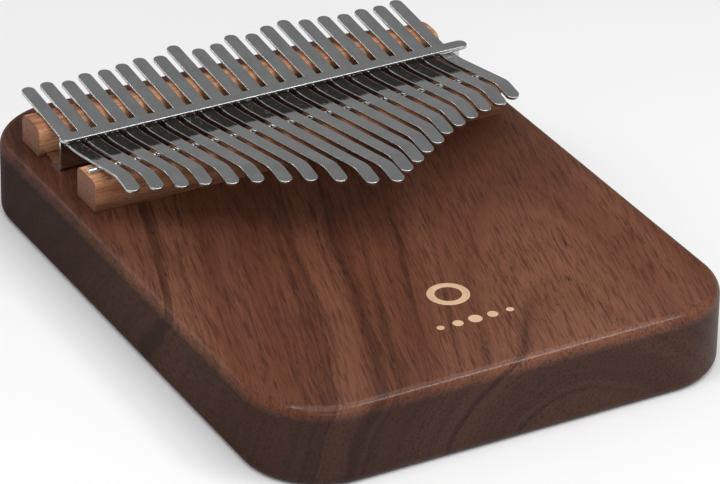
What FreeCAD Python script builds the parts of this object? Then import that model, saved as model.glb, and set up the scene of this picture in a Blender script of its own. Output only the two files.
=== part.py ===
import FreeCAD, Part
import math
import os

from FreeCAD import Placement, Rotation, Vector
import Sketcher

# Lamellophone with 21 plucked tines on a solid board.
# Millimetres. X runs across the tines, Y along them towards their tails, Z up.
# The origin is the centre of the board's underside.

SIZES = {
    # board: the row of tines, with a margin on both sides, sets its width
    "board_margin": 10.85,
    "board_length": 221.4,
    "board_thickness": 28.0,
    "corner_radius": 26.5,
    "top_edge_radius": 4.2,
    "bottom_edge_radius": 3.2,
    # tines
    "tine_pitch": 7.0,
    "tine_width": 4.8,
    "tine_thickness": 1.1,
    "tail_angle": 5.9,
    "rise_angle": 10.7,
    "tip_angle": 10.5,
    "tip_bend_radius": 14.0,
    "tip_leaf": 6.6,
    "longest_tongue": 70.5,
    "end_correction": 3.5,
    "tail_reach": 34.5,
    "end_flat": 0.1,
    "split_offset": 0.8,
    "split_gap": 0.08,
    # line on which the pressure bar holds the tines, from the board's rear end
    "clamp_inset": 48.2,
    "clamp_height": 10.6,
    "clamp_radius": 14.0,
    "sweep_radius": 60.0,
    # distances from that line
    "rod_distance": 24.5,
    "rear_bridge_distance": 17.9,
    "screw_distance": 6.1,
    # wooden bridges
    "bridge_left_margin": 3.9,
    "bridge_right_margin": 2.5,
    "front_bridge_offset": 0.2,
    "front_bridge_depth": 13.4,
    "front_bridge_round": 2.4,
    "rear_bridge_depth": 13.0,
    "rear_bridge_crown": 20.0,
    "rear_bridge_round": 3.0,
    # steel rod let into the front bridge
    "rod_diameter": 2.0,
    "rod_groove": 0.23,
    "rod_left_margin": 3.1,
    # bracket of bent sheet
    "bracket_left_margin": 1.5,
    "bracket_right_margin": 3.3,
    "sheet": 1.2,
    "inner_bend": 0.6,
    "flange_gap": 0.2,
    "slot_clearance": 0.3,
    "slot_drop": 0.6,
    "hole_diameter": 2.6,
    "hole_land": 0.3,
    # pressure bar
    "bar_right_overhang": 2.9,
    "bar_width": 5.0,
    "bar_thickness": 1.5,
    "bar_crown": 10.0,
    "bar_edge": 0.35,
    "bar_end_flat": 0.2,
    # screws through the bracket's base flange
    "screw_pitch": 42.0,
    "screw_shank": 3.2,
    "screw_length": 16.0,
    "screw_head": 5.8,
    "screw_head_height": 1.7,
    "recess_width": 0.8,
    "recess_span": 3.0,
    "recess_depth": 0.9,
    # inlay in the top of the board, measured from its front end and its middle
    "inlay_depth": 1.2,
    "inlay_x": -0.8,
    "ring_inset": 45.2,
    "ring_outer": 6.9,
    "ring_inner": 4.3,
    "dots_inset": 28.2,
    "dot_pitch": 6.2,
    "dot_radius": 2.3,
    "dot_step": 0.5,
}

TINES = 21
SCREWS = 4
DOTS = 5

# Semitones above the lowest note, from the middle tine outwards, left and right in turn.
MAJOR_STEPS = (2, 2, 2, 1, 2, 2, 1)

# What tuning has moved each tine by, left to right: its tip forwards and its tail backwards.
TIP_TRIM = (-1.5, -1.0, -1.0, -1.5, -1.0, -1.0, -1.0, -1.5, 0.0, 0.5, 0.0,
            1.5, 1.5, 2.0, 1.0, 0.0, -0.5, -1.0, -0.5, 0.0, 0.0)
TAIL_TRIM = (0.0, 0.5, -1.5, 0.5, 0.0, 1.0, 2.0, 0.5, 4.5, -0.5, 0.0,
             3.0, 1.0, 3.5, 4.5, 2.0, 1.5, 0.0, 0.5, 0.0, 1.0)

doc = FreeCAD.newDocument("mbira")
sheet = doc.addObject("Spreadsheet::Sheet", "Dims")
for row, (alias, value) in enumerate(SIZES.items(), start=1):
    sheet.set(f"A{row}", alias)
    sheet.set(f"B{row}", str(value))
    sheet.setAlias(f"B{row}", alias)
doc.recompute()


def size(alias):
    """The number in the cell with this alias."""
    return float(sheet.get(alias))


def bind(thing, **sizes):
    """Tie each named property to an expression on the sheet."""
    for prop, expression in sizes.items():
        thing.setExpression(prop.replace("__", "."), expression)


def new_body(label):
    body = doc.addObject("PartDesign::Body", label)
    body.Label = label
    return body


def origin_plane(body, role):
    return next(f for f in body.Origin.OriginFeatures if f.Role == role)


def new_sketch(body, name, role, offset=None):
    """An empty sketch on one of the body's own origin planes."""
    sketch = body.newObject("Sketcher::SketchObject", name)
    sketch.AttachmentSupport = [(origin_plane(body, role), "")]
    sketch.MapMode = "FlatFace"
    if offset:
        sketch.setExpression("AttachmentOffset.Base.z", offset)
    return sketch


def chain(sketch, edges):
    """Add lines and arcs that follow one another, joined end to end and closed."""
    ids = [sketch.addGeometry(edge, False) for edge, _ in edges]
    for k, (edge, reverse) in enumerate(edges):
        following, follows_reversed = ids[(k + 1) % len(ids)], edges[(k + 1) % len(ids)][1]
        end = 1 if reverse else 2
        start = 2 if follows_reversed else 1
        sketch.addConstraint(Sketcher.Constraint("Coincident", ids[k], end, following, start))
    return ids


def dimension(sketch, kind, *where, to):
    """Add one dimension and tie it to an expression on the sheet."""
    index = sketch.addConstraint(Sketcher.Constraint(kind, *where))
    sketch.setExpression(f"Constraints[{index}]", to)
    return index


def rectangle(sketch, left, right, low, high):
    """A rectangle whose four sides are each tied to an expression."""
    x0, x1, y0, y1 = (evaluate(side) for side in (left, right, low, high))
    corners = [Vector(x0, y0, 0), Vector(x1, y0, 0), Vector(x1, y1, 0), Vector(x0, y1, 0)]
    edges = [(Part.LineSegment(corners[k], corners[(k + 1) % 4]), False) for k in range(4)]
    ids = chain(sketch, edges)
    for k, rule in enumerate(("Horizontal", "Vertical", "Horizontal", "Vertical")):
        sketch.addConstraint(Sketcher.Constraint(rule, ids[k]))
    place(sketch, ids[0], 1, left, low)
    place(sketch, ids[1], 2, right, high)


def circle(sketch, x, y, radius):
    """A circle whose centre and radius are each tied to an expression."""
    centre = Vector(evaluate(x), evaluate(y), 0)
    ring = sketch.addGeometry(Part.Circle(centre, Vector(0, 0, 1), evaluate(radius)), False)
    dimension(sketch, "Radius", ring, evaluate(radius), to=radius)
    place(sketch, ring, 3, x, y)


def place(sketch, element, point, x, y):
    """Tie one point's distances from the sketch's axes to expressions."""
    for kind, expression in (("DistanceX", x), ("DistanceY", y)):
        dimension(sketch, kind, -1, 1, element, point, evaluate(expression), to=expression)


def evaluate(expression):
    return float(sheet.evalExpression(expression))


def pad(body, sketch, name, length, other_way=None, symmetric=False):
    """A pad along the sketch's normal, and as far or by another length the other way."""
    feature = body.newObject("PartDesign::Pad", name)
    feature.Profile = sketch
    bind(feature, Length=length)
    if symmetric:
        feature.SideType = "Symmetric"
    if other_way:
        feature.SideType = "Two sides"
        bind(feature, Length2=other_way)
    doc.recompute()
    return feature


def pocket(body, sketch, name, length, through=False):
    """A pocket below the sketch, or half each way, that has to take something away."""
    before = body.Shape.Volume
    feature = body.newObject("PartDesign::Pocket", name)
    feature.Profile = sketch
    if through:
        feature.SideType = "Symmetric"
    bind(feature, Length=length)
    doc.recompute()
    if feature.Shape.Volume >= before:
        raise RuntimeError(f"{body.Label}: {name} cuts nothing")
    return feature


def row_of(body, feature, name, count, spacing):
    """Repeat a pocket along X."""
    pattern = body.newObject("PartDesign::LinearPattern", name)
    pattern.Originals = [feature]
    pattern.Direction = (next(f for f in body.Origin.OriginFeatures if f.Role == "X_Axis"), [""])
    pattern.Mode = "Spacing"
    pattern.Occurrences = count
    bind(pattern, Offset=spacing)
    body.Tip = pattern
    doc.recompute()
    return pattern


def round_edges(body, name, radius, chosen):
    """A fillet on the edges of the body's last feature that the test picks."""
    base = body.Tip
    names = [f"Edge{k}" for k, edge in enumerate(base.Shape.Edges, start=1) if chosen(edge)]
    fillet = body.newObject("PartDesign::Fillet", name)
    fillet.Base = (base, names)
    bind(fillet, Radius=radius)
    doc.recompute()
    return fillet


# Positions that the pieces share, as expressions on the sheet.
TOP = "Dims.board_thickness"
HALF_ROW = f"(Dims.tine_pitch * {(TINES - 1) / 2} + Dims.tine_width / 2)"
HALF_BOARD = f"({HALF_ROW} + Dims.board_margin)"
CLAMP_Y = "(Dims.board_length / 2 - Dims.clamp_inset)"
ROD_Y = f"({CLAMP_Y} - Dims.rod_distance)"
FRONT_BRIDGE_Y = f"({ROD_Y} + Dims.front_bridge_offset)"
REAR_BRIDGE_Y = f"({CLAMP_Y} + Dims.rear_bridge_distance)"
SCREW_Y = f"({CLAMP_Y} + Dims.screw_distance)"
RING_Y = "(Dims.ring_inset - Dims.board_length / 2)"
DOTS_Y = "(Dims.dots_inset - Dims.board_length / 2)"
BRIDGE_LEFT = f"({HALF_ROW} + Dims.bridge_left_margin)"
BRIDGE_RIGHT = f"({HALF_ROW} + Dims.bridge_right_margin)"
BRACKET_LEFT = f"({HALF_ROW} + Dims.bracket_left_margin)"
BRACKET_RIGHT = f"({HALF_ROW} + Dims.bracket_right_margin)"
CLAMP_Z = "(Dims.board_thickness + Dims.clamp_height)"
CLAMP_CENTRE_Z = f"({CLAMP_Z} + Dims.clamp_radius)"
SWEEP_CENTRE_Z = f"({CLAMP_Z} + Dims.sweep_radius)"
HALF_TOUCH = "(Dims.sweep_radius + Dims.tine_thickness + Dims.rod_diameter / 2)"
ROD_Z = (f"({SWEEP_CENTRE_Z} - {HALF_TOUCH} / cos(Dims.rise_angle)"
         " + Dims.rod_distance * tan(Dims.rise_angle))")
FRONT_BRIDGE_TOP = f"({ROD_Z} - Dims.rod_diameter / 2 + Dims.rod_groove)"
CROWN_TOUCH = "(Dims.clamp_radius + Dims.tine_thickness + Dims.rear_bridge_crown)"
CROWN_Z = (f"({CLAMP_CENTRE_Z} - {CROWN_TOUCH} / cos(Dims.tail_angle)"
           " + Dims.rear_bridge_distance * tan(Dims.tail_angle))")
WEB_FRONT = f"({CLAMP_Y} - Dims.sheet / 2)"
REAR_BRIDGE_FRONT = f"({REAR_BRIDGE_Y} - Dims.rear_bridge_depth / 2)"
FLANGE_END = f"({REAR_BRIDGE_FRONT} - Dims.flange_gap)"
SLOT_FLOOR = f"({CLAMP_Z} - Dims.tine_thickness - Dims.slot_drop)"
HOLE_Z = f"({SLOT_FLOOR} - Dims.hole_land - Dims.hole_diameter / 2)"
END_ROUND = "Dims.tine_width / 2 - Dims.end_flat / 2"
FIRST_TINE = f"(-Dims.tine_pitch * {(TINES - 1) / 2})"

# Two lengths or heights closer than this are taken as the same.
SAME = 1e-3


def flat_at(shape, height):
    """Whether every end of the edge lies at this height."""
    return all(abs(vertex.Z - height) < SAME for vertex in shape.Vertexes)


def upright(edge):
    """Whether the edge is a straight one along Z."""
    return edge.Curve.TypeId == "Part::GeomLine" and abs(edge.Curve.Direction.z) > 1 - SAME


def make_board():
    body = new_body("board")
    outline = new_sketch(body, "board_outline", "XY_Plane")
    rectangle(outline, f"-{HALF_BOARD}", HALF_BOARD,
              "-Dims.board_length / 2", "Dims.board_length / 2")
    pad(body, outline, "board_slab", "Dims.board_thickness")
    round_edges(body, "board_corners", "Dims.corner_radius", upright)
    thickness = size("board_thickness")
    round_edges(body, "board_top_edge", "Dims.top_edge_radius", lambda e: flat_at(e, thickness))
    round_edges(body, "board_bottom_edge", "Dims.bottom_edge_radius", lambda e: flat_at(e, 0.0))
    ring = new_sketch(body, "ring_seat", "XY_Plane", TOP)
    circle(ring, "Dims.inlay_x", RING_Y, "Dims.ring_outer")
    circle(ring, "Dims.inlay_x", RING_Y, "Dims.ring_inner")
    pocket(body, ring, "ring_recess", "Dims.inlay_depth")
    dots = new_sketch(body, "dot_seats", "XY_Plane", TOP)
    for x, radius in dot_row():
        circle(dots, x, DOTS_Y, radius)
    pocket(body, dots, "dot_recesses", "Dims.inlay_depth")
    holes = new_sketch(body, "screw_seats", "XY_Plane", TOP)
    for x in screw_row():
        circle(holes, x, SCREW_Y, "Dims.screw_shank / 2")
    pocket(body, holes, "screw_holes", "Dims.screw_length - Dims.sheet")
    return body


def dot_row():
    """Each dot's place and radius: the middle one is the largest."""
    for k in range(DOTS):
        step = k - (DOTS - 1) / 2
        yield f"Dims.inlay_x + Dims.dot_pitch * {step}", f"Dims.dot_radius - Dims.dot_step * {abs(step)}"


def screw_row():
    return [f"Dims.screw_pitch * {k - (SCREWS - 1) / 2}" for k in range(SCREWS)]


def make_inlay_ring():
    body = new_body("inlay_ring")
    outline = new_sketch(body, "ring_outline", "XY_Plane", f"{TOP} - Dims.inlay_depth")
    circle(outline, "Dims.inlay_x", RING_Y, "Dims.ring_outer")
    circle(outline, "Dims.inlay_x", RING_Y, "Dims.ring_inner")
    pad(body, outline, "ring_solid", "Dims.inlay_depth")
    return body


def make_inlay_dots():
    dots = []
    for number, (x, radius) in enumerate(dot_row(), start=1):
        dot = doc.addObject("Part::Cylinder", f"dot_{number}")
        bind(dot, Radius=radius, Height="Dims.inlay_depth", Placement__Base__x=x,
             Placement__Base__y=DOTS_Y, Placement__Base__z=f"{TOP} - Dims.inlay_depth")
        dots.append(dot)
    return group("inlay_dots", dots)


def group(label, members):
    """Several separate solids that share one node."""
    whole = doc.addObject("Part::Compound", label)
    whole.Label = label
    whole.Links = members
    doc.recompute()
    return whole


def make_front_bridge():
    """A bar with two rounded top edges and a shallow groove for the rod."""
    body = new_body("front_bridge")
    section = new_sketch(body, "front_section", "YZ_Plane")
    rectangle(section, f"{FRONT_BRIDGE_Y} - Dims.front_bridge_depth / 2",
              f"{FRONT_BRIDGE_Y} + Dims.front_bridge_depth / 2", TOP, FRONT_BRIDGE_TOP)
    pad(body, section, "front_bar", BRIDGE_RIGHT, other_way=BRIDGE_LEFT)
    crest = evaluate(FRONT_BRIDGE_TOP)
    round_edges(body, "front_bar_edges", "Dims.front_bridge_round",
                lambda e: flat_at(e, crest) and e.Length > size("front_bridge_depth") * 2)
    groove = new_sketch(body, "rod_groove_section", "YZ_Plane")
    circle(groove, ROD_Y, ROD_Z, "Dims.rod_diameter / 2")
    pocket(body, groove, "rod_groove", f"{BRIDGE_LEFT} * 4", through=True)
    return body


def make_rear_bridge():
    """A bar with a crowned top, on which the tails bear, and two rounded upper edges."""
    body = new_body("rear_bridge")
    section = new_sketch(body, "rear_section", "YZ_Plane")
    middle, half = evaluate(REAR_BRIDGE_Y), size("rear_bridge_depth") / 2
    crown, base, centre_z = size("rear_bridge_crown"), size("board_thickness"), evaluate(CROWN_Z)
    side = centre_z + math.sqrt(crown ** 2 - half ** 2)
    spread = math.asin(half / crown)
    front_foot, rear_foot = Vector(middle - half, base, 0), Vector(middle + half, base, 0)
    front_top, rear_top = Vector(middle - half, side, 0), Vector(middle + half, side, 0)
    round_top = Part.Circle(Vector(middle, centre_z, 0), Vector(0, 0, 1), crown)
    arc = Part.ArcOfCircle(round_top, math.pi / 2 - spread, math.pi / 2 + spread)
    ids = chain(section, [(Part.LineSegment(front_foot, rear_foot), False),
                          (Part.LineSegment(rear_foot, rear_top), False),
                          (arc, False),
                          (Part.LineSegment(front_top, front_foot), False)])
    for k, rule in ((0, "Horizontal"), (1, "Vertical"), (3, "Vertical")):
        section.addConstraint(Sketcher.Constraint(rule, ids[k]))
    dimension(section, "Radius", ids[2], crown, to="Dims.rear_bridge_crown")
    place(section, ids[0], 1, REAR_BRIDGE_FRONT, TOP)
    dimension(section, "DistanceX", ids[0], 1, ids[0], 2, 2 * half, to="Dims.rear_bridge_depth")
    place(section, ids[2], 3, REAR_BRIDGE_Y, CROWN_Z)
    pad(body, section, "rear_bar", BRIDGE_RIGHT, other_way=BRIDGE_LEFT)
    round_edges(body, "rear_bar_edges", "Dims.rear_bridge_round",
                lambda e: flat_at(e, side) and e.Length > 2 * half + SAME)
    return body


def make_bridge_rod():
    rod = doc.addObject("Part::Cylinder", "bridge_rod")
    rod.Placement = Placement(Vector(), Rotation(Vector(0, 1, 0), 90))
    bind(rod, Radius="Dims.rod_diameter / 2", Height=f"{HALF_ROW} * 2 + Dims.rod_left_margin",
         Placement__Base__x=f"-({HALF_ROW} + Dims.rod_left_margin)",
         Placement__Base__y=ROD_Y, Placement__Base__z=ROD_Z)
    return rod


def make_bracket():
    """An angle of bent sheet: a flange on the board and an upright web with a comb of slots."""
    body = new_body("bracket")
    section = new_sketch(body, "angle_section", "YZ_Plane")
    front, back, thick = evaluate(WEB_FRONT), evaluate(FLANGE_END), size("sheet")
    base, crest = size("board_thickness"), evaluate(CLAMP_Z)
    corners = [Vector(y, z, 0) for y, z in (
        (front, base), (back, base), (back, base + thick),
        (front + thick, base + thick), (front + thick, crest), (front, crest))]
    following = corners[1:] + corners[:1]
    ids = chain(section, [(Part.LineSegment(*ends), False) for ends in zip(corners, following)])
    for k, line in enumerate(ids):
        section.addConstraint(Sketcher.Constraint("Vertical" if k % 2 else "Horizontal", line))
    place(section, ids[0], 1, WEB_FRONT, TOP)
    place(section, ids[1], 2, FLANGE_END, f"{TOP} + Dims.sheet")
    place(section, ids[3], 2, f"{WEB_FRONT} + Dims.sheet", CLAMP_Z)
    pad(body, section, "angle", BRACKET_RIGHT, other_way=BRACKET_LEFT)
    row_wide = size("tine_pitch") * TINES / 2
    round_edges(body, "outer_bend", "Dims.inner_bend + Dims.sheet",
                lambda e: e.Length > row_wide and flat_at(e, base) and e.CenterOfMass.y < front + SAME)
    round_edges(body, "inner_bend", "Dims.inner_bend",
                lambda e: e.Length > row_wide and flat_at(e, base + thick)
                and e.CenterOfMass.y < front + thick + SAME)
    slot = new_sketch(body, "slot_outline", "XZ_Plane")
    half = "(Dims.tine_width / 2 + Dims.slot_clearance)"
    rectangle(slot, f"{FIRST_TINE} - {half}", f"{FIRST_TINE} + {half}", SLOT_FLOOR, f"{CLAMP_Z} + Dims.sheet")
    cut = pocket(body, slot, "slot", "Dims.board_length", through=True)
    row_of(body, cut, "comb", TINES, "Dims.tine_pitch")
    hole = new_sketch(body, "hole_outline", "XZ_Plane")
    circle(hole, f"{FIRST_TINE} + Dims.tine_pitch / 2", HOLE_Z, "Dims.hole_diameter / 2")
    bored = pocket(body, hole, "hole", "Dims.board_length", through=True)
    row_of(body, bored, "row_of_holes", TINES, "Dims.tine_pitch")
    seats = new_sketch(body, "flange_seats", "XY_Plane", f"{TOP} + Dims.sheet")
    for x in screw_row():
        circle(seats, x, SCREW_Y, "Dims.screw_shank / 2")
    pocket(body, seats, "flange_holes", "Dims.sheet * 2")
    return body


def make_pressure_bar():
    """A flat bar with a slightly crowned underside, which meets each tine on one line."""
    body = new_body("pressure_bar")
    section = new_sketch(body, "bar_section", "YZ_Plane")
    middle, half, crown = evaluate(CLAMP_Y), size("bar_width") / 2, size("bar_crown")
    low = evaluate(CLAMP_Z)
    high = low + size("bar_thickness")
    side = low + crown - math.sqrt(crown ** 2 - half ** 2)
    spread = math.asin(half / crown)
    underside = Part.Circle(Vector(middle, low + crown, 0), Vector(0, 0, 1), crown)
    arc = Part.ArcOfCircle(underside, 1.5 * math.pi - spread, 1.5 * math.pi + spread)
    front_low, rear_low = Vector(middle - half, side, 0), Vector(middle + half, side, 0)
    front_high, rear_high = Vector(middle - half, high, 0), Vector(middle + half, high, 0)
    ids = chain(section, [(arc, False),
                          (Part.LineSegment(rear_low, rear_high), False),
                          (Part.LineSegment(rear_high, front_high), False),
                          (Part.LineSegment(front_high, front_low), False)])
    for k, rule in ((1, "Vertical"), (2, "Horizontal"), (3, "Vertical")):
        section.addConstraint(Sketcher.Constraint(rule, ids[k]))
    dimension(section, "Radius", ids[0], crown, to="Dims.bar_crown")
    place(section, ids[0], 3, CLAMP_Y, f"{CLAMP_Z} + Dims.bar_crown")
    place(section, ids[1], 2, f"{CLAMP_Y} + Dims.bar_width / 2", f"{CLAMP_Z} + Dims.bar_thickness")
    dimension(section, "DistanceX", ids[2], 2, ids[2], 1, 2 * half, to="Dims.bar_width")
    pad(body, section, "bar", f"{BRACKET_RIGHT} + Dims.bar_right_overhang", other_way=BRACKET_LEFT)
    round_edges(body, "bar_ends", "Dims.bar_width / 2 - Dims.bar_end_flat / 2", upright)
    round_edges(body, "bar_edges", "Dims.bar_edge", lambda e: flat_at(e, high))
    return body


def make_screws():
    """Four pan-head wood screws with a cross recess."""
    screws = []
    for number, x in enumerate(screw_row(), start=1):
        head_seat = f"{TOP} + Dims.sheet"
        shank = doc.addObject("Part::Cylinder", f"shank_{number}")
        bind(shank, Radius="Dims.screw_shank / 2", Height="Dims.screw_length",
             Placement__Base__x=x, Placement__Base__y=SCREW_Y,
             Placement__Base__z=f"{head_seat} - Dims.screw_length")
        head = doc.addObject("Part::Cone", f"head_{number}")
        bind(head, Radius1="Dims.screw_head / 2", Radius2="Dims.screw_head / 2 - Dims.recess_width",
             Height="Dims.screw_head_height", Placement__Base__x=x,
             Placement__Base__y=SCREW_Y, Placement__Base__z=head_seat)
        solid = doc.addObject("Part::MultiFuse", f"solid_{number}")
        solid.Shapes = [shank, head]
        arms = []
        for along, across in (("recess_span", "recess_width"), ("recess_width", "recess_span")):
            arm = doc.addObject("Part::Box", f"{along}_{number}")
            bind(arm, Length=f"Dims.{along}", Width=f"Dims.{across}", Height="Dims.recess_depth",
                 Placement__Base__x=f"{x} - Dims.{along} / 2",
                 Placement__Base__y=f"{SCREW_Y} - Dims.{across} / 2",
                 Placement__Base__z=f"{head_seat} + Dims.screw_head_height - Dims.recess_depth")
            arms.append(arm)
        recess = doc.addObject("Part::MultiFuse", f"recess_{number}")
        recess.Shapes = arms
        screw = doc.addObject("Part::Cut", f"screw_{number}")
        screw.Base, screw.Tool = solid, recess
        screws.append(screw)
    return group("bracket_screws", screws)


def tongue_reach(number):
    """How far a tine's tip stands in front of the rod.

    The lowest note is in the middle and the scale climbs outwards, left and right in turn.
    A tine's free length, with a constant end correction, goes with the root of its period.
    """
    offset = number - (TINES + 1) // 2
    note = 2 * abs(offset) - (1 if offset < 0 else 0)
    semitones = sum(MAJOR_STEPS[k % len(MAJOR_STEPS)] for k in range(note))
    correction = size("end_correction")
    ideal = (size("longest_tongue") + correction) * 2 ** (-semitones / 24)
    return ideal - correction + TIP_TRIM[number - 1]


def strip_side(body, name, path):
    """A closed side view of a bent strip, with its thickness and bend radius tied to the sheet.

    path lists what the top face follows: ("run", start, end, heading) for a straight part, and
    ("bend", centre, radius's size, low angle, high angle, side) for a bend, where side is +1 if
    the bend's centre is above the strip and -1 if it is below.
    """
    sketch = new_sketch(body, name, "YZ_Plane")
    thick = size("tine_thickness")
    top, under, radii = [], [], []
    for kind, *data in path:
        if kind == "run":
            start, end, heading = data
            down = Vector(math.sin(heading), -math.cos(heading), 0) * thick
            top.append((Part.LineSegment(start, end), False))
            under.append((Part.LineSegment(end + down, start + down), False))
        else:
            centre, radius, low, high, side = data
            for face, extra, reverse in ((top, 0, side > 0), (under, side * thick, side < 0)):
                bend = Part.Circle(centre, Vector(0, 0, 1), size(radius) + extra)
                face.append((Part.ArcOfCircle(bend, low, high), reverse))
            radii.append((len(top) - 1, f"Dims.{radius}"))
    first_end = top[-1][0].EndPoint, under[-1][0].StartPoint
    last_end = under[0][0].EndPoint, top[0][0].StartPoint
    edges = (top + [(Part.LineSegment(*first_end), False)]
             + under[::-1] + [(Part.LineSegment(*last_end), False)])
    ids = chain(sketch, edges)
    for cap in (ids[len(top)], ids[-1]):
        dimension(sketch, "Distance", cap, thick, to="Dims.tine_thickness")
    for k, radius in radii:
        dimension(sketch, "Radius", ids[k], evaluate(radius), to=radius)
    return sketch


def make_root(number):
    """The held part of a tine: tail, bend under the pressure bar, sweep up to the rod."""
    label = f"tine_{number:02d}_root"
    body = new_body(label)
    tail, rise = math.radians(size("tail_angle")), math.radians(size("rise_angle"))
    centre = Vector(evaluate(CLAMP_Y), evaluate(CLAMP_CENTRE_Z), 0)
    tail_foot = centre + Vector(math.sin(tail), -math.cos(tail), 0) * size("clamp_radius")
    sweep_centre, rise_foot = sweep(rise)
    reach = centre.x + size("tail_reach") + TAIL_TRIM[number - 1] - tail_foot.x
    tail_end = tail_foot + Vector(1, math.tan(tail), 0) * reach
    split = rise_foot + Vector(-1, math.tan(rise), 0) * (rise_foot.x - split_y())
    down = -math.pi / 2
    side = strip_side(body, f"{label}_side", [
        ("run", tail_end, tail_foot, tail),
        ("bend", centre, "clamp_radius", down, down + tail, 1),
        ("bend", sweep_centre, "sweep_radius", down - rise, down, 1),
        ("run", rise_foot, split, -rise),
    ])
    pad(body, side, f"{label}_strip", "Dims.tine_width", symmetric=True)
    round_edges(body, f"{label}_end", END_ROUND, lambda e: across_strip(e) and e.CenterOfMass.y > centre.x)
    bind(body, Placement__Base__x=tine_x(number))
    return body


def sweep(rise):
    """Centre of a tine's sweep up from the pressure bar, and the point where it runs straight."""
    centre = Vector(evaluate(CLAMP_Y), evaluate(SWEEP_CENTRE_Z), 0)
    return centre, centre + Vector(-math.sin(rise), -math.cos(rise), 0) * size("sweep_radius")


def split_y():
    """Where a tine's tongue is parted from its root, just in front of the rod."""
    return evaluate(ROD_Y) - size("split_offset")


def tine_x(number):
    return f"Dims.tine_pitch * {number - (TINES + 1) / 2}"


def across_strip(edge):
    """Whether the edge is as long as the tines are thick."""
    return abs(edge.Length - size("tine_thickness")) < SAME


def make_tongue(number):
    """The free part of a tine: it goes on rising past the rod and its tip bends down."""
    label = f"tine_{number:02d}_tongue"
    body = new_body(label)
    rise, tip = math.radians(size("rise_angle")), math.radians(size("tip_angle"))
    radius, leaf = size("tip_bend_radius"), size("tip_leaf")
    rise_foot = sweep(rise)[1]
    start_y = split_y() - size("split_gap")
    tip_y = evaluate(ROD_Y) - tongue_reach(number)
    bend_y = tip_y + leaf * math.cos(tip) + radius * (math.sin(rise) + math.sin(tip))
    up = Vector(-1, math.tan(rise), 0)
    start = rise_foot + up * (rise_foot.x - start_y)
    bend = rise_foot + up * (rise_foot.x - bend_y)
    centre = bend - Vector(math.sin(rise), math.cos(rise), 0) * radius
    bend_end = centre + Vector(-math.sin(tip), math.cos(tip), 0) * radius
    tip_end = bend_end + Vector(-math.cos(tip), -math.sin(tip), 0) * leaf
    up_angle = math.pi / 2
    side = strip_side(body, f"{label}_side", [
        ("run", start, bend, -rise),
        ("bend", centre, "tip_bend_radius", up_angle - rise, up_angle + tip, -1),
        ("run", bend_end, tip_end, tip),
    ])
    pad(body, side, f"{label}_strip", "Dims.tine_width", symmetric=True)
    round_edges(body, f"{label}_end", END_ROUND, lambda e: across_strip(e) and e.CenterOfMass.y < bend_y)
    bind(body, Placement__Base__x=tine_x(number))
    return body


subparts = [
    make_board(),
    make_inlay_ring(),
    make_inlay_dots(),
    make_front_bridge(),
    make_rear_bridge(),
    make_bridge_rod(),
    make_bracket(),
    make_pressure_bar(),
    make_screws(),
]
for tine in range(1, TINES + 1):
    subparts += [make_root(tine), make_tongue(tine)]
doc.recompute()

for thing in doc.Objects:
    if "Invalid" in thing.State or "Error" in thing.State:
        raise RuntimeError(f"{thing.Label} has state {thing.State}")
for subpart in subparts:
    if subpart.Shape.isNull() or not subpart.Shape.isValid():
        raise RuntimeError(f"{subpart.Label} has no valid shape")

os.makedirs("parts", exist_ok=True)
for subpart in subparts:
    subpart.Shape.exportStep(f"parts/{subpart.Label}.step")
print(f"{len(subparts)} sub-parts written")
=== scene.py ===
"""Lamellophone with 21 steel tines on a walnut board: surfaces, finishes and stage, in metres."""
import math

import bpy
import numpy as np
from bpy.props import FloatProperty, FloatVectorProperty, PointerProperty
from mathutils import Matrix, Vector


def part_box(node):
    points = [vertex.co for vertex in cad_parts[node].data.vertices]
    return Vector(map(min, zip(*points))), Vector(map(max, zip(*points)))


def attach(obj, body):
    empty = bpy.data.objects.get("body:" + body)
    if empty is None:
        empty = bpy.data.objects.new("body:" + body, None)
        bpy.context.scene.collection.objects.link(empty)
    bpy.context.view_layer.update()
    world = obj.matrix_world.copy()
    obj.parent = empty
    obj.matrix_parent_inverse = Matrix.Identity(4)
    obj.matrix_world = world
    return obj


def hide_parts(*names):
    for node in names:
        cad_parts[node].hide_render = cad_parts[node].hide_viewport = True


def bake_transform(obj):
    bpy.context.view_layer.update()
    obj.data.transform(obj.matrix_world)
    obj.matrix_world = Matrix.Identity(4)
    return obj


bl_info = {
    "name": "Mbira",
    "version": (1, 0, 0),
    "blender": (4, 5, 0),
    "location": "View3D > Sidebar > Mbira",
    "description": "Builds the board, bridges, bracket, tines and stage of a lamellophone",
    "category": "Object",
}

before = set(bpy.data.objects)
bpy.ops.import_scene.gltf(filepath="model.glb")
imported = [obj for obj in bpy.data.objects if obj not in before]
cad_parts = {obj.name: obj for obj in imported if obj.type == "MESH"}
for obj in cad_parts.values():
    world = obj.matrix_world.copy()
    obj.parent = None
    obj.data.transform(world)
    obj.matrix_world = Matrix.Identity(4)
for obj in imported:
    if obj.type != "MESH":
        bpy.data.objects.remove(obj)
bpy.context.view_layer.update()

MM = 0.001
TINES = 21
PITCH = 7.0  # from one tine to the next, in millimetres
DOTS = 5
RING_INSIDE = 4.3 / 6.9  # the inlaid ring's inside radius as a share of its outside one

# Distances in from an edge as shares of its rounding, and one share that lies on the flat.
EDGE_SHARES = (0, 0.1, 0.3, 0.6, 1.0, 1.25)
FLAT_SHARE = 4.0

# Stations on a tine's tail, clamp bend, sweep, straight rise, tip bend and leaf.
TINE_SPANS = (8, 6, 16, 52, 17, 8)
PATH_POINTS = 4001

# Painted dark reflection and shade on the tines, in millimetres: how far it reaches in front of the
# pressure bar's front edge, under the bar, and how far short of the last tine it stops.
REFLECTION_FRONT, REFLECTION_UNDER, REFLECTION_SHORT = 18.7, 0.6, 0.5

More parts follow.
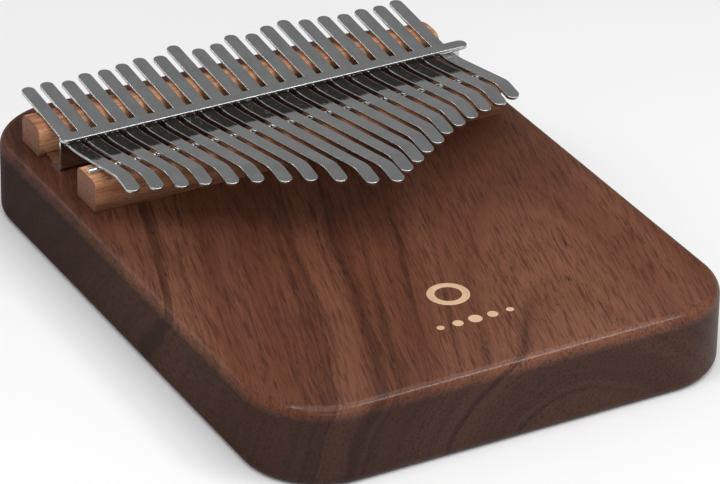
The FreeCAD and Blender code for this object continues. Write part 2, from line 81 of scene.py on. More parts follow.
# Each light's name, place and size in metres, and radiance.
LIGHTS = (
    ("overhead", (0.0, -0.35, 1.0), (1.3, 0.9), 2.3),
    ("back_left", (-0.62, 0.95, 0.52), (0.4, 0.3), 5.0),
    ("left_strip", (-0.50, -0.20, 0.82), (0.14, 0.26), 7.0),
    ("front", (-0.25, -1.10, 0.42), (0.7, 0.35), 1.6),
    ("front_strip", (0.52, -0.60, 0.93), (0.30, 0.12), 14.0),
)

# The camera's turn, lift and roll in degrees, its place in metres, and its lens in millimetres.
CAMERA_ANGLES = (-29.116, 29.427, 0.888)
CAMERA_PLACE = (-0.62216, -1.12394, 0.73832)
CAMERA_LENS, SENSOR_WIDTH = 226.8, 36.0


# ---------------------------------------------------------------- sizes and colours

def length(name, description, default):
    return FloatProperty(name=name, description=description, default=default, unit="LENGTH", precision=5)


def angle(name, description, degrees):
    return FloatProperty(name=name, description=description, default=math.radians(degrees), unit="ROTATION")


def tint(name, description, rgb):
    return FloatVectorProperty(name=name, description=description, default=rgb, subtype="COLOR",
                               min=0, max=1)


class MbiraSizes(bpy.types.PropertyGroup):
    corner: length("Board corner", "Radius of the board's four corners seen from above", 26.5 * MM)
    top_edge: length("Top edge", "Rounding of the board's upper edge", 4.2 * MM)
    bottom_edge: length("Bottom edge", "Rounding of the board's lower edge", 3.2 * MM)
    front_round: length("Front bridge edge", "Rounding of the front bridge's upper edges", 2.4 * MM)
    rear_round: length("Rear bridge edge", "Rounding of the rear bridge's upper edges", 3.0 * MM)
    rear_crown: length("Rear bridge crown", "Radius of the rear bridge's top", 20 * MM)
    end_break: length("Broken end", "Rounding of the bridges' sawn ends", 0.5 * MM)
    tine_thickness: length("Tine thickness", "Thickness of the spring steel strip", 1.1 * MM)
    tine_edge: length("Tine edge", "Rounding along the edges of a tine", 0.22 * MM)
    clamp_radius: length("Clamp bend", "Radius of a tine's bend behind the pressure bar's line", 14 * MM)
    sweep_radius: length("Sweep", "Radius of a tine's rise in front of the pressure bar's line", 60 * MM)
    tip_radius: length("Tip bend", "Radius of the bend before a tine's tip", 14 * MM)
    tip_leaf: length("Tip leaf", "Straight part after the last bend", 6.6 * MM)
    tail_angle: angle("Tail angle", "Slope of a tine's tail", 5.9)
    rise_angle: angle("Rise angle", "Slope of a tine from the bar over the rod", 10.7)
    tip_angle: angle("Tip angle", "Slope at which a tine's tip falls away", 10.5)
    tine_end_flat: length("Tine end flat", "Half the flat left at a tine's round ends", 0.05 * MM)
    bar_edge: length("Bar edge", "Rounding along the edges of the pressure bar", 0.35 * MM)
    bar_end_flat: length("Bar end flat", "Half the flat left at the bar's round ends", 0.1 * MM)
    bar_clear: length("Bar clearance", "Height of the bar's underside above its CAD face", 0.12 * MM)
    inlay_edge: length("Inlay edge", "Rounding of the inlay's upper edges", 0.12 * MM)
    inlay_proud: length("Inlay proud", "Height of the inlay above the board", 0.04 * MM)
    dot_pitch: length("Dot pitch", "Distance from one inlaid dot to the next", 6.2 * MM)
    dot_step: length("Dot step", "Change of radius from one inlaid dot to the next", 0.5 * MM)


class MbiraColours(bpy.types.PropertyGroup):
    # The dark walnut also serves as the painted shade towards the back of the board.
    walnut_dark: tint("Dark walnut", "Latewood streaks of the board", (0.032, 0.0090, 0.0038))
    walnut_mid: tint("Walnut", "Ground colour of the board", (0.136, 0.0450, 0.0215))
    walnut_light: tint("Light walnut", "Palest streaks of the board", (0.206, 0.081, 0.043))
    walnut_pore: tint("Walnut pores", "Open pores of the board", (0.014, 0.005, 0.003))
    # The side colour is painted shade that darkens the board's sides.
    walnut_side_shade: tint("Walnut side", "Multiplies the colour of the board's sides", (0.34, 0.33, 0.33))
    bridge_dark: tint("Dark bridge wood", "Darkest grain of the bridges", (0.22, 0.082, 0.036))
    bridge_light: tint("Light bridge wood", "Palest grain of the bridges", (0.66, 0.33, 0.175))
    bridge_end: tint("Bridge end grain", "Sawn ends of the bridges", (0.29, 0.135, 0.075))
    bridge_pore: tint("Bridge pores", "Open pores of the bridges", (0.11, 0.045, 0.025))
    inlay: tint("Inlay", "Pale wood let into the board", (0.74, 0.49, 0.30))
    spring_steel: tint("Spring steel", "Tines and pressure bar", (0.52, 0.525, 0.52))
    bright_steel: tint("Bright steel", "Bracket, rod and screws", (0.66, 0.655, 0.64))
    # This colour is painted dark reflection and shade on the tines in front of the pressure bar.
    scale: tint("Scale", "Dark scale on the tines", (0.014, 0.012, 0.008))
    floor: tint("Floor", "Studio floor", (0.93, 0.93, 0.93))
    surround: tint("Surround", "Even light from all round", (0.30, 0.30, 0.305))


# ---------------------------------------------------------------- surfaces

def make_piece(name, shells, material, body, nodes):
    """Joins closed skins into one smooth mesh, which rides on a CAD body and stands for CAD nodes.

    Each skin is a grid of points, ring after ring. Quads fill it between neighbouring rings; a
    fan to each end ring's middle closes it, or the last ring joins the first one.
    """
    points, faces, start = [], [], 0
    for rings, looped in shells:
        count, around = rings.shape[:2]
        index = start + np.arange(count * around).reshape(count, around)
        below = index if looped else index[:-1]
        above = np.roll(index, -1, axis=0) if looped else index[1:]
        turned = [np.roll(grid, -1, axis=1) for grid in (below, above)]
        quads = np.stack([below, turned[0], turned[1], above], axis=-1).reshape(-1, 4)
        flat = rings.reshape(-1, 3)
        caps = np.empty((0, 3), int)
        if not looped:
            poles = rings[[0, -1]].mean(axis=1)
            first, last = start + len(flat), start + len(flat) + 1
            caps = np.concatenate([
                np.stack([np.full(around, first), np.roll(index[0], -1), index[0]], axis=-1),
                np.stack([np.full(around, last), index[-1], np.roll(index[-1], -1)], axis=-1)])
            flat = np.concatenate([flat, poles])
        if signed_volume(flat, quads - start, caps - start) < 0:
            quads, caps = quads[:, ::-1], caps[:, ::-1]
        points.append(flat)
        faces += quads.tolist() + caps.tolist()
        start += len(flat)
    mesh = bpy.data.meshes.new(name)
    mesh.from_pydata(np.concatenate(points).tolist(), [], faces)
    mesh.polygons.foreach_set("use_smooth", np.ones(len(faces), bool))
    mesh.materials.append(material)
    piece = bpy.data.objects.new(name, mesh)
    bpy.context.scene.collection.objects.link(piece)
    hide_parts(*nodes)
    if body:
        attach(piece, body)
    return piece


def signed_volume(points, quads, caps):
    """A sixth of the sum of the triple products of every triangle's corners."""
    triangles = np.concatenate([quads[:, [0, 1, 2]], quads[:, [0, 2, 3]], caps])
    a, b, c = (points[triangles[:, k]] for k in range(3))
    return float(np.einsum("ij,ij->i", a, np.cross(b, c)).sum() / 6)


def eased(count):
    """Numbers from 0 to 1 that follow a quarter turn: 1 minus its cosine."""
    return 1 - np.cos(np.linspace(0, math.pi / 2, count))


def rounded_outline(half_x, half_y, radius, per_corner):
    """A rounded rectangle anticlockwise: each corner's centre plus a quarter circle."""
    turn = np.linspace(0, math.pi / 2, per_corner)
    corners = []
    for k, (sx, sy) in enumerate(((1, 1), (-1, 1), (-1, -1), (1, -1))):
        along = turn + k * math.pi / 2
        centre = np.array([sx * (half_x - radius), sy * (half_y - radius)])
        corners.append(centre + radius * np.stack([np.cos(along), np.sin(along)], axis=-1))
    return np.concatenate(corners)


def slab(half_x, half_y, radius, steps, per_corner):
    """Rings of a slab: its outline drawn in by each step's inset and set at that step's height."""
    rings = []
    for inset, height in steps:
        outline = rounded_outline(half_x - inset, half_y - inset, max(radius - inset, 0.0), per_corner)
        rings.append(np.column_stack([outline, np.full(len(outline), height)]))
    return np.stack(rings)


def edge_steps(low, high, low_round, high_round, inner, count):
    """Insets and heights from the middle of the underside, round both edges, to the top's middle."""
    support = 0.02 * high_round
    under = [(inner, low), (low_round + support, low)]
    lower = [(low_round * (1 - math.sin(a)), low + low_round * (1 - math.cos(a)))
             for a in np.linspace(0, math.pi / 2, count)]
    upper = [(high_round * (1 - math.cos(a)), high - high_round * (1 - math.sin(a)))
             for a in np.linspace(0, math.pi / 2, count)]
    return under + lower + upper + [(high_round + support, high), (inner, high)]


def along_x(section, x_low, x_high, end_round, count=6):
    """A closed section in Y and Z carried along X; each end is drawn in by a quarter circle."""
    following, before = np.roll(section, -1, axis=0), np.roll(section, 1, axis=0)
    run = following - before
    outward = np.stack([run[:, 1], -run[:, 0]], axis=-1)
    outward /= np.linalg.norm(outward, axis=1, keepdims=True)
    inset = end_round * (1 - np.sin(np.linspace(0, math.pi / 2, count)))
    reach = end_round * eased(count)
    stations = np.concatenate([x_low + reach, x_high - reach[::-1]])
    insets = np.concatenate([inset, inset[::-1]])
    drawn = section[None] - insets[:, None, None] * outward[None]
    xs = np.broadcast_to(stations[:, None, None], (len(stations), len(section), 1))
    return np.concatenate([xs, drawn], axis=-1)


def bridge_section(box, edge_round, crown=None, per_corner=9, across=13):
    """A bar's section, anticlockwise from its rear foot: flat sides and foot, a level or crowned
    top, and a quarter circle between the top and each side."""
    low, high = box
    middle, half = (low.y + high.y) / 2, (high.y - low.y) / 2
    inner = half - edge_round
    spread = np.linspace(inner, -inner, across)
    sag = crown - np.sqrt(crown ** 2 - spread ** 2) if crown else np.zeros(across)
    top = np.column_stack([middle + spread, high.z - sag])
    drop = edge_round + sag[0]
    turn = np.linspace(0, math.pi / 2, per_corner)
    rear = np.column_stack([middle + inner + edge_round * np.cos(turn),
                            high.z - drop + edge_round * np.sin(turn)])
    front = np.column_stack([middle - inner - edge_round * np.sin(turn),
                             high.z - drop + edge_round * np.cos(turn)])
    foot = np.array([[middle - half, low.z], [middle + half, low.z]])
    return np.concatenate([rear, top[1:-1], front, foot])


def strip(path, up, side, reach, half_width, thickness, end_round, edge):
    """A flat strip with round ends along a path on its top face.

    At each station it is as wide as a half circle of the end's radius allows. A point's distance
    from the outline then gives the half thickness there: a quarter circle rounds every edge.
    """
    from_end = np.minimum(reach - reach[0], reach[-1] - reach)
    flat = half_width - end_round
    inside = np.clip(end_round - from_end, 0, end_round)
    width = flat + np.sqrt(end_round ** 2 - inside ** 2)
    steps = np.append(EDGE_SHARES, FLAT_SHARE) * edge / half_width
    right = 1 - steps
    share = np.concatenate([-right, [0], right[::-1]])
    x = width[:, None] * share
    beyond = np.maximum(np.abs(x) - flat, 0)
    depth = np.where(inside[:, None] > 0, end_round - np.hypot(beyond, inside[:, None]),
                     width[:, None] - np.abs(x))
    depth = np.clip(depth, 0, edge)
    half = thickness / 2 - edge + np.sqrt(edge ** 2 - (edge - depth) ** 2)
    middle = (path - up * thickness / 2)[:, None] + x[..., None] * side
    lift = half[..., None] * up[:, None]
    return np.concatenate([middle + lift, (middle - lift)[:, ::-1]], axis=1)


def end_stations(end_round, edge):
    """Distances from a strip's end: close over its edge's rounding, wider to the end of its curve."""
    rounding = edge * np.array(EDGE_SHARES)
    rest = np.linspace(rounding[-1], end_round, 10)[1:]
    return np.concatenate([rounding, rest])


def tine_path(sizes, root, tongue, bar):
    """The line along a tine's top face, from its tail to its tip, with the normals.

    The heading stays the same on each straight run and turns evenly with distance on each bend.
    The path is the running sum of the heading's cosine and sine, set to pass the clamp line.
    """
    tail, rise, tip = sizes.tail_angle, sizes.rise_angle, sizes.tip_angle
    clamp_y, clamp_z = (bar[0].y + bar[1].y) / 2, bar[0].z
    tail_y = root[1].y - sizes.tine_thickness * math.sin(tail)
    tail_run = (tail_y - clamp_y - sizes.clamp_radius * math.sin(tail)) / math.cos(tail)
    bends = sizes.sweep_radius * math.sin(rise) + sizes.tip_radius * (math.sin(rise) + math.sin(tip))
    front_run = (clamp_y - tongue[0].y - bends - sizes.tip_leaf * math.cos(tip)) / math.cos(rise)
    knots = np.cumsum([0, tail_run, sizes.clamp_radius * tail, sizes.sweep_radius * rise, front_run,
                       sizes.tip_radius * (rise + tip), sizes.tip_leaf])
    clamp_at = knots[2]
    headings = np.array([-tail, -tail, 0.0, rise, rise, -tip, -tip])
    fine = np.linspace(0, knots[-1], PATH_POINTS)
    centre = (fine[1:] + fine[:-1]) / 2
    heading = np.interp(centre, knots, headings)
    step = fine[1] - fine[0]
    y = -np.concatenate([[0], np.cumsum(np.cos(heading) * step)])
    z = np.concatenate([[0], np.cumsum(np.sin(heading) * step)])
    y += clamp_y - np.interp(clamp_at, fine, y)
    z += clamp_z - np.interp(clamp_at, fine, z)
    half_width = (root[1].x - root[0].x) / 2
    ends = end_stations(half_width - sizes.tine_end_flat, sizes.tine_edge)
    spans = [np.linspace(a, b, n) for a, b, n in zip(knots[:-1], knots[1:], TINE_SPANS)]
    inner = np.concatenate(spans)
    inner = inner[(inner > ends[-1] * 1.05) & (inner < knots[-1] - ends[-1] * 1.05)]
    reach = np.unique(np.concatenate([ends, inner, knots[-1] - ends]))
    turned = np.interp(reach, knots, headings)
    x = np.full(len(reach), (root[0].x + root[1].x) / 2)
    path = np.column_stack([x, np.interp(reach, fine, y), np.interp(reach, fine, z)])
    up = np.column_stack([np.zeros(len(reach)), np.sin(turned), np.cos(turned)])
    return path, up, reach, half_width


# ---------------------------------------------------------------- shader maths

class Signal:
    """An output socket of a material. Arithmetic on it adds Math nodes."""

    def __init__(self, tree, socket=None):
        self.tree = tree
        self.socket = socket

    def node(self, kind, settings=None, inputs=None, output=0):
        """A new node's output: its settings are set first, then its sockets' values or links."""
        made = self.tree.nodes.new(kind)
        for name, value in (settings or {}).items():
            setattr(made, name, value)
        for key, value in (inputs or {}).items():
            if isinstance(value, Signal):
                self.tree.links.new(value.socket, made.inputs[key])
            else:
                made.inputs[key].default_value = value
        return Signal(self.tree, made.outputs[output])

    def math(self, operation, *values):
        return self.node("ShaderNodeMath", {"operation": operation}, dict(enumerate(values)))

    def __add__(self, other):
        return self.math("ADD", self, other)

    def __sub__(self, other):
        return self.math("SUBTRACT", self, other)

    def __mul__(self, other):
        return self.math("MULTIPLY", self, other)

    def __truediv__(self, other):
        return self.math("DIVIDE", self, other)

    def __pow__(self, other):
        return self.math("POWER", self, other)

    def __rsub__(self, other):
        return self.math("SUBTRACT", other, self)

    __radd__ = __add__
    __rmul__ = __mul__

    def between(self, low, high):
        """0 below low, 1 above high, and a smooth step from one to the other."""
        return self.node("ShaderNodeMapRange", {"interpolation_type": "SMOOTHSTEP"},
                         {"Value": self, "From Min": low, "From Max": high})

    def mixed(self, first, second, blend="MIX"):
        """The first colour where this is 0 and the second where it is 1."""
        colours = {0: self, 6: solid(first), 7: solid(second)}
        return self.node("ShaderNodeMix", {"data_type": "RGBA", "blend_type": blend}, colours, 2)

    def noise(self, x, y, z, detail=2.0, roughness=0.5):
        """Smooth noise between 0 and 1, one unit to a feature, at three coordinates."""
        where = self.node("ShaderNodeCombineXYZ", None, {0: x, 1: y, 2: z})
        return self.node("ShaderNodeTexNoise", None,
                         {"Vector": where, "Scale": 1.0, "Detail": detail, "Roughness": roughness})


def solid(colour):
    """A colour as a socket takes it, with its alpha; a signal stays as it is."""
    return colour if isinstance(colour, Signal) else (*colour, 1.0)


def new_material(name):
    """A material, the coordinates of its piece in millimetres and its shader."""
    material = bpy.data.materials.new(name)
    material.use_nodes = True
    tree = material.node_tree
    shader = tree.nodes["Principled BSDF"]
    start = Signal(tree)
    place = start.node("ShaderNodeTexCoord", None, None, "Object")
    scaled = start.node("ShaderNodeVectorMath", {"operation": "SCALE"}, {0: place, "Scale": 1 / MM})
    split = tree.nodes.new("ShaderNodeSeparateXYZ")
    tree.links.new(scaled.socket, split.inputs[0])
    return material, [Signal(tree, split.outputs[k]) for k in range(3)], shader


def finish_shader(shader, links, **values):
    """Sets constants on the shader's own sockets and links what varies over the surface."""
    for name, value in values.items():
        shader.inputs[name.replace("_", " ")].default_value = value
    for name, signal in links.items():
        signal.tree.links.new(signal.socket, shader.inputs[name])


def bump(height, strength, distance):
    """A normal tilted by a height; the distance is in metres."""
    return height.node("ShaderNodeBump", None,
                       {"Strength": strength, "Distance": distance, "Height": height}, "Normal")


def walnut(colours, front, top):
    """Growth rings about an axis below the board that leans and dips along the grain. The coat is
    thicker near the board's front edge. Painted shade darkens the board towards the back and on
    its sides."""
    material, (x, y, z), shader = new_material("walnut_board")
    lean, dip = math.radians(15.8), 0.10
    axis_right, axis_below = 52, 27
    across = x * math.cos(lean) - y * math.sin(lean)
    along = x * math.sin(lean) + y * math.cos(lean)
    drift = across.noise(across / 42, along / 160, z / 42, 2.0) - 0.5
    waver = across.noise(across / 9, along / 60, z / 9, 2.0) - 0.5
    side = across + drift * 14 + waver * 1.8 - axis_right
    depth = z + along * dip + axis_below
    ring = (side * side + depth * depth) ** 0.5
    broad = ring.noise(ring / 15, along / 620, 0.3, 2.0)
    streak = ring.noise(ring / 3.4, along / 260, 4.7, 3.0, 0.6)
    line = ring.noise(ring / 0.9, along / 120, 9.1, 2.0, 0.6)
    fibre = across.noise(across / 0.5, along / 11, z / 0.5, 2.0)
    dash = across.noise(across / 0.9, along / 16, z / 0.9 + 6.2, 2.0, 0.6)
    pore = across.noise(across / 0.42, along / 4.6, z / 0.42, 1.0)
    pores = pore.between(0.60, 0.72) * streak.between(0.35, 0.7)
    # Painted shade under and behind the tines: the board darkens towards the back.
    behind = (y + across.noise(across / 12, along / 60, 2.1) * 30).between(-32, 24)
    colour = broad.between(0.36, 0.62).mixed(colours.walnut_mid, colours.walnut_light)
    calm = 1 - x.between(0, 40) * 0.72
    colour = (streak.between(0.50, 0.72) * calm * 0.64).mixed(colour, colours.walnut_dark)
    colour = (line.between(0.45, 0.75) * calm * 0.30).mixed(colour, colours.walnut_dark)
    colour = (fibre.between(0.40, 0.80) * 0.45).mixed(colour, colours.walnut_dark)
    colour = (dash.between(0.50, 0.68) * 0.50).mixed(colour, colours.walnut_dark)
    # Painted shade: the dark walnut is mixed in towards the back of the board.
    colour = (behind * 0.36).mixed(colour, colours.walnut_dark)
    colour = (pores * 0.80).mixed(colour, colours.walnut_pore)
    # Painted shade on the sides: their colour is multiplied by the side colour.
    side_face = (top - z).between(1.5, 5.5)
    colour = side_face.mixed(colour, colours.walnut_side_shade, "MULTIPLY")
    near_front = (front - y).between(-26.7, -6.7)
    finish_shader(shader, {
        "Base Color": colour,
        "Roughness": 0.50 + fibre * 0.12 + side_face * 0.2,
        "Coat Weight": near_front * 0.22 + 0.05 - side_face * 0.04,
        "Normal": bump(fibre * -0.4 - pores, 0.25, 0.00012),
    }, Coat_Roughness=0.14, Specular_IOR_Level=0.14)
    return material


def bridge_wood(colours, x_low, x_high):
    """Open-pored wood with its grain along X: dashes on the sides and dots on the sawn ends."""
    material, (x, y, z), shader = new_material("bridge_wood")
    broad = x.noise(x / 55, y / 5, z / 5, 2.0)
    fibre = x.noise(x / 14, y / 0.7, z / 0.7, 3.0, 0.6)
    pore = x.noise(x / 2.4, y / 0.42, z / 0.42, 1.0)
    pores = pore.between(0.60, 0.70)
    colour = (broad * 0.6 + fibre * 0.4).between(0.33, 0.66).mixed(colours.bridge_dark, colours.bridge_light)
    colour = (fibre.between(0.5, 0.8) * 0.35).mixed(colour, colours.bridge_dark)
    depth, fade = 0.35, 0.2
    sawn = (x_low + depth - x).between(0.0, fade) + (x - x_high + depth).between(0.0, fade)
    cut = x.noise(x / 3, y / 0.55, z / 0.55, 3.0, 0.65)
    darker = tuple(0.5 * c for c in colours.bridge_end)
    colour = sawn.mixed(colour, cut.between(0.3, 0.7).mixed(darker, colours.bridge_end))
    colour = (pores * 0.65).mixed(colour, colours.bridge_pore)
    finish_shader(shader, {
        "Base Color": colour,
        "Roughness": 0.60 + fibre * 0.16,
        "Normal": bump(fibre * -0.3 - pores, 0.35, 0.00015),
    }, Specular_IOR_Level=0.3)
    return material


def inlay_wood(colours):
    """Pale close-grained wood with faint fibres along the board."""
    material, (x, y, z), shader = new_material("inlay_wood")
    fibre = x.noise(x / 0.5, y / 7, z / 0.5, 2.0)
    cloud = x.noise(x / 6, y / 12, z / 6, 1.0)
    shade = (fibre * 0.6 + cloud * 0.4).between(0.3, 0.7)
    darker = tuple(0.78 * c for c in colours.inlay)
    finish_shader(shader, {
        "Base Color": shade.mixed(darker, colours.inlay),
        "Roughness": 0.42 + fibre * 0.1,
    }, Coat_Weight=0.2, Coat_Roughness=0.2)
    return material


def steel(name, colour, rough, grain, stretch, scale=None, band=None):
    """Metal with fine drawing lines along one axis, faint clouds in its polish and, on the tines,
    a band of painted dark reflection and shade between two distances along Y."""
    material, (x, y, z), shader = new_material(name)
    sx, sy = stretch
    lines = x.noise(x / sx, y / sy, z / 0.3, 2.0, 0.6)
    cloud = x.noise(x / 5, y / 9, z / 5, 2.0)
    duller = tuple(0.90 * c for c in colour)
    finish_shader(shader, {
        "Base Color": cloud.between(0.35, 0.65).mixed(duller, colour),
        "Roughness": rough * (0.75 + cloud * 0.3 + lines * 0.2),
        "Normal": bump(lines, grain, 0.00003),
    }, Metallic=1.0)
    if band:
        # Painted dark reflection and shade laid over the tines.
        darken(material, shader, scale, painted_reflection_band(x, y, *band))
    return material


def darken(material, shader, colour, share):
    """Lays a matt colour over a share of the surface."""
    tree = material.node_tree
    matt = tree.nodes.new("ShaderNodeBsdfPrincipled")
    finish_shader(matt, {}, Base_Color=solid(colour), Roughness=0.7, Specular_IOR_Level=0.12)
    both = share.node("ShaderNodeMixShader", None, {0: share, 1: Signal(tree, shader.outputs[0]),
                                                    2: Signal(tree, matt.outputs[0])})
    tree.links.new(both.socket, tree.nodes["Material Output"].inputs["Surface"])


def painted_reflection_band(x, y, front, back, right):
    """Where the painted dark reflection and shade lie: up to 1 on the flats of the tines between two
    distances along Y, as far right as the given distance along X. Its front border is uneven, it
    has gaps in places, and light specks along its front border stand for glints."""
    half_flat = 2.12
    ragged = x.noise(x / 1.6, y / 4, 3.3, 2.0) * 2.4
    specks = x.noise(x / 0.5, y / 0.5, 8.2, 1.0).between(0.50, 0.60) * (front + 2.0 - y).between(0, 0.8)
    from_middle = (x / PITCH + 0.5).math("FRACT", x / PITCH + 0.5) * PITCH - PITCH / 2
    flat = (half_flat - from_middle.math("ABSOLUTE", from_middle)).between(0.0, 0.12)
    along = (y - ragged - front + 1.2).between(0.0, 1.0) * (back - y).between(0.0, 0.3)
    band_gaps = x.noise(x / 1.1, y / 1.5, 5.7, 2.0).between(0.55, 0.75) * 0.30
    return along * flat * (1 - specks) * (1 - band_gaps) * (right - x).between(0.0, 0.2)


# ---------------------------------------------------------------- pieces

class MBIRA_OT_board(bpy.types.Operator):
    """Solid walnut board with large corners and soft edges"""
    bl_idname = "mbira.board"
    bl_label = "Board"

    def execute(self, context):
        sizes, colours = context.scene.mbira_sizes, context.scene.mbira_colours
        low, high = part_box("board")
        half_x, half_y = (high.x - low.x) / 2, (high.y - low.y) / 2
        steps = edge_steps(low.z, high.z, sizes.bottom_edge, sizes.top_edge, sizes.corner, 12)
        rings = slab(half_x, half_y, sizes.corner, steps, 32)
        wood = walnut(colours, low.y / MM, high.z / MM)
        make_piece("walnut_board", [(rings, False)], wood, "frame", ["board"])
        return {"FINISHED"}


class MBIRA_OT_bridges(bpy.types.Operator):
    """Front bridge, rear bridge and the rod let into the front one"""
    bl_idname = "mbira.bridges"
    bl_label = "Bridges and rod"

    def execute(self, context):
        sizes, colours = context.scene.mbira_sizes, context.scene.mbira_colours
        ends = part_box("front_bridge")
        wood = bridge_wood(colours, ends[0].x / MM, ends[1].x / MM)
        for node, edge_round, crown in (("front_bridge", sizes.front_round, None),
                                        ("rear_bridge", sizes.rear_round, sizes.rear_crown)):
            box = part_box(node)
            rings = along_x(bridge_section(box, edge_round, crown), box[0].x, box[1].x, sizes.end_break)
            make_piece(f"{node}_wood", [(rings, False)], wood, "frame", [node])
        low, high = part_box("bridge_rod")
        turn = np.linspace(0, 2 * math.pi, 33)[:-1]
        radius = (high.y - low.y) / 2
        circle = np.column_stack([(low.y + high.y) / 2 + radius * np.cos(turn),
                                  (low.z + high.z) / 2 + radius * np.sin(turn)])
        rings = along_x(circle, low.x, high.x, radius * 0.3)
        metal = steel("bright_rod", colours.bright_steel, rough=0.14, grain=0.1, stretch=(6.0, 0.4))
        make_piece("steel_rod", [(rings, False)], metal, "frame", ["bridge_rod"])
        return {"FINISHED"}


class MBIRA_OT_bracket(bpy.types.Operator):
    """Finish of the bent bracket and of its screws"""
    bl_idname = "mbira.bracket"
    bl_label = "Bracket and screws"

    def execute(self, context):
        colours = context.scene.mbira_colours
        bright = colours.bright_steel
        sheet = steel("polished_sheet", bright, rough=0.10, grain=0.08, stretch=(9.0, 0.8))
        zinc = steel("zinced_screws", bright, rough=0.26, grain=0.15, stretch=(0.6, 0.6))
        for node, metal in (("bracket", sheet), ("bracket_screws", zinc)):
            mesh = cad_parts[node].data
            mesh.materials.clear()
            mesh.materials.append(metal)
        return {"FINISHED"}


class MBIRA_OT_pressure_bar(bpy.types.Operator):
    """Flat pressure bar with round ends"""
    bl_idname = "mbira.pressure_bar"
    bl_label = "Pressure bar"

    def execute(self, context):
        sizes, colours = context.scene.mbira_sizes, context.scene.mbira_colours
        low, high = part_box("pressure_bar")
        half_width = (high.y - low.y) / 2
        end_round = half_width - sizes.bar_end_flat
        total = high.x - low.x
        ends = end_stations(end_round, sizes.bar_edge)
        middle = np.linspace(end_round * 1.2, total - end_round * 1.2, 40)
        reach = np.concatenate([ends, middle, (total - ends)[::-1]])
        path = np.column_stack([low.x + reach, np.full(len(reach), (low.y + high.y) / 2),
                                np.full(len(reach), high.z)])
        up = np.tile([0.0, 0.0, 1.0], (len(reach), 1))
        rings = strip(path, up, np.array([0.0, 1.0, 0.0]), reach, half_width,
                      high.z - low.z - sizes.bar_clear, end_round, sizes.bar_edge)
        metal = steel("bar_steel", colours.spring_steel, rough=0.26, grain=0.2, stretch=(14.0, 0.4))
        make_piece("flat_bar", [(rings, False)], metal, "frame", ["pressure_bar"])
        return {"FINISHED"}


class MBIRA_OT_tines(bpy.types.Operator):
    """One spring strip for each tine, held at its root and bending just in front of the rod"""
    bl_idname = "mbira.tines"
    bl_label = "Tines"

    def execute(self, context):
        sizes, colours = context.scene.mbira_sizes, context.scene.mbira_colours
        bar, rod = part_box("pressure_bar"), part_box("bridge_rod")
        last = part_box(f"tine_{TINES:02d}_root")
        bar_front = bar[0].y / MM
        # Painted dark reflection and shade on the tines in front of the pressure bar.
        band = (bar_front - REFLECTION_FRONT, bar_front + REFLECTION_UNDER, last[0].x / MM - REFLECTION_SHORT)
        metal = steel("tine_steel", colours.spring_steel, rough=0.24, grain=0.25,
                      stretch=(0.35, 12.0), scale=colours.scale, band=band)
        side = np.array([1.0, 0.0, 0.0])
        for number in range(1, TINES + 1):
            nodes = [f"tine_{number:02d}_root", f"tine_{number:02d}_tongue"]
            root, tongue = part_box(nodes[0]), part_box(nodes[1])
            path, up, reach, half_width = tine_path(sizes, root, tongue, bar)
            rings = strip(path, up, side, reach, half_width, sizes.tine_thickness,
                          half_width - sizes.tine_end_flat, sizes.tine_edge)
            tine = make_piece(f"tine_{number:02d}", [(rings, False)], metal, None, nodes)
            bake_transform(tine)
        return {"FINISHED"}


class MBIRA_OT_inlay(bpy.types.Operator):
    """Ring and row of dots in pale wood, flush with the board"""
    bl_idname = "mbira.inlay"
    bl_label = "Inlay"

    def execute(self, context):
        sizes, colours = context.scene.mbira_sizes, context.scene.mbira_colours
        wood = inlay_wood(colours)
        proud = sizes.inlay_proud
        low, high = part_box("inlay_ring")
        centre, outer = (low + high) / 2, (high.x - low.x) / 2
        inner = outer * RING_INSIDE
        corner = sizes.inlay_edge * eased(5)
        half = (outer - inner) / 2
        run = np.concatenate([corner - half, (half - corner)[::-1]])
        lift = np.concatenate([-corner[::-1], -corner])
        section = np.concatenate([np.column_stack([run, high.z + proud + lift]),
                                  [[half, low.z], [-half, low.z]]])
        turn = np.linspace(0, 2 * math.pi, 97)[:-1]
        radius = (outer + inner) / 2 + section[:, 0]
        rings = np.stack([centre.x + np.cos(turn)[:, None] * radius,
                          centre.y + np.sin(turn)[:, None] * radius,
                          np.broadcast_to(section[:, 1], (len(turn), len(section)))], axis=-1)
        make_piece("pale_ring", [(rings, True)], wood, "frame", ["inlay_ring"])
        low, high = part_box("inlay_dots")
        middle, biggest = (low + high) / 2, (high.y - low.y) / 2
        shells = []
        for k in range(DOTS):
            away = k - (DOTS - 1) / 2
            radius = biggest - abs(away) * sizes.dot_step
            x = middle.x + away * sizes.dot_pitch
            steps = [(0.0, low.z)] + [(c, high.z + proud - d) for c, d in zip(corner, corner[::-1])]
            disc = [np.column_stack([x + (radius - inset) * np.cos(turn[::3]),
                                     middle.y + (radius - inset) * np.sin(turn[::3]),
                                     np.full(len(turn[::3]), height)]) for inset, height in steps]
            shells.append((np.stack(disc), False))
        make_piece("pale_dots", shells, wood, "frame", ["inlay_dots"])
        return {"FINISHED"}


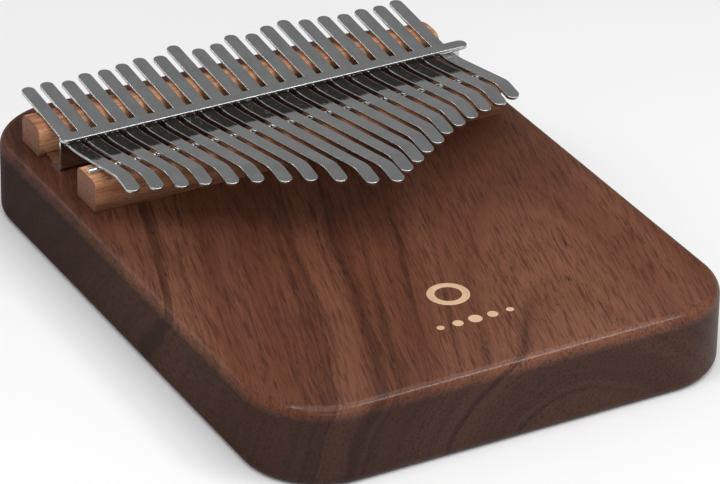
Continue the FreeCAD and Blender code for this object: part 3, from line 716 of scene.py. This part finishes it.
class MBIRA_OT_stage(bpy.types.Operator):
    """Pale floor, soft light and the camera"""
    bl_idname = "mbira.stage"
    bl_label = "Stage"

    def execute(self, context):
        scene = context.scene
        colours = scene.mbira_colours
        mesh = bpy.data.meshes.new("floor")
        reach, below = 6.0, -0.0001
        mesh.from_pydata([(-reach, -reach, below), (reach, -reach, below),
                          (reach, reach, below), (-reach, reach, below)], [], [(0, 1, 2, 3)])
        floor = bpy.data.objects.new("floor", mesh)
        scene.collection.objects.link(floor)
        matte = bpy.data.materials.new("studio_floor")
        matte.use_nodes = True
        finish_shader(matte.node_tree.nodes["Principled BSDF"], {},
                      Base_Color=solid(colours.floor), Roughness=0.9, Specular_IOR_Level=0.1)
        mesh.materials.append(matte)
        world = bpy.data.worlds.new("studio")
        world.use_nodes = True
        sky = world.node_tree.nodes["Background"].inputs
        sky["Color"].default_value = solid(colours.surround)
        sky["Strength"].default_value = 1.0
        scene.world = world
        scene.view_settings.view_transform = "Standard"
        for light in LIGHTS:
            self.softbox(scene, *light)
        self.camera(scene)
        return {"FINISHED"}

    def softbox(self, scene, name, place, size, radiance):
        """A rectangle of light that faces the object, with its power worked out from radiance."""
        light = bpy.data.lights.new(name, "AREA")
        light.shape = "RECTANGLE"
        light.size, light.size_y = size
        light.energy = radiance * math.pi * size[0] * size[1]
        lamp = bpy.data.objects.new(name, light)
        lamp.location = place
        lamp.rotation_mode = "QUATERNION"
        lamp.rotation_quaternion = Vector(place).to_track_quat("Z", "Y")
        scene.collection.objects.link(lamp)

    def camera(self, scene):
        """A long lens to the left of the front, looking down at about 29 degrees."""
        turn, lift, roll = (math.radians(a) for a in CAMERA_ANGLES)
        back = Vector((math.sin(turn) * math.cos(lift), -math.cos(turn) * math.cos(lift), math.sin(lift)))
        right = (-back).cross(Vector((0, 0, 1))).normalized()
        up = right.cross(-back)
        level_right = right * math.cos(roll) + up * math.sin(roll)
        level_up = up * math.cos(roll) - right * math.sin(roll)
        data = bpy.data.cameras.new("camera")
        data.lens, data.sensor_width = CAMERA_LENS, SENSOR_WIDTH
        camera = bpy.data.objects.new("camera", data)
        scene.collection.objects.link(camera)
        axes = Matrix((level_right, level_up, back)).transposed().to_4x4()
        camera.matrix_world = Matrix.Translation(CAMERA_PLACE) @ axes
        scene.camera = camera


class MBIRA_PT_panel(bpy.types.Panel):
    """Sizes, colours and pieces of the lamellophone"""
    bl_idname = "MBIRA_PT_panel"
    bl_label = "Mbira"
    bl_space_type = "VIEW_3D"
    bl_region_type = "UI"
    bl_category = "Mbira"

    def draw(self, context):
        for group in (context.scene.mbira_sizes, context.scene.mbira_colours):
            for name in group.__annotations__:
                self.layout.prop(group, name)
        for operator in OPERATORS:
            self.layout.operator(operator.bl_idname)


OPERATORS = (MBIRA_OT_board, MBIRA_OT_bridges, MBIRA_OT_bracket, MBIRA_OT_pressure_bar,
             MBIRA_OT_tines, MBIRA_OT_inlay, MBIRA_OT_stage)
CLASSES = (MbiraSizes, MbiraColours, *OPERATORS, MBIRA_PT_panel)


def register():
    for item in CLASSES:
        bpy.utils.register_class(item)
    bpy.types.Scene.mbira_sizes = PointerProperty(type=MbiraSizes)
    bpy.types.Scene.mbira_colours = PointerProperty(type=MbiraColours)


def unregister():
    del bpy.types.Scene.mbira_colours
    del bpy.types.Scene.mbira_sizes
    for item in reversed(CLASSES):
        bpy.utils.unregister_class(item)


def main():
    register()
    bpy.ops.mbira.board()
    bpy.ops.mbira.bridges()
    bpy.ops.mbira.bracket()
    bpy.ops.mbira.pressure_bar()
    bpy.ops.mbira.tines()
    bpy.ops.mbira.inlay()
    bpy.ops.mbira.stage()


if __name__ == "__main__":
    main()
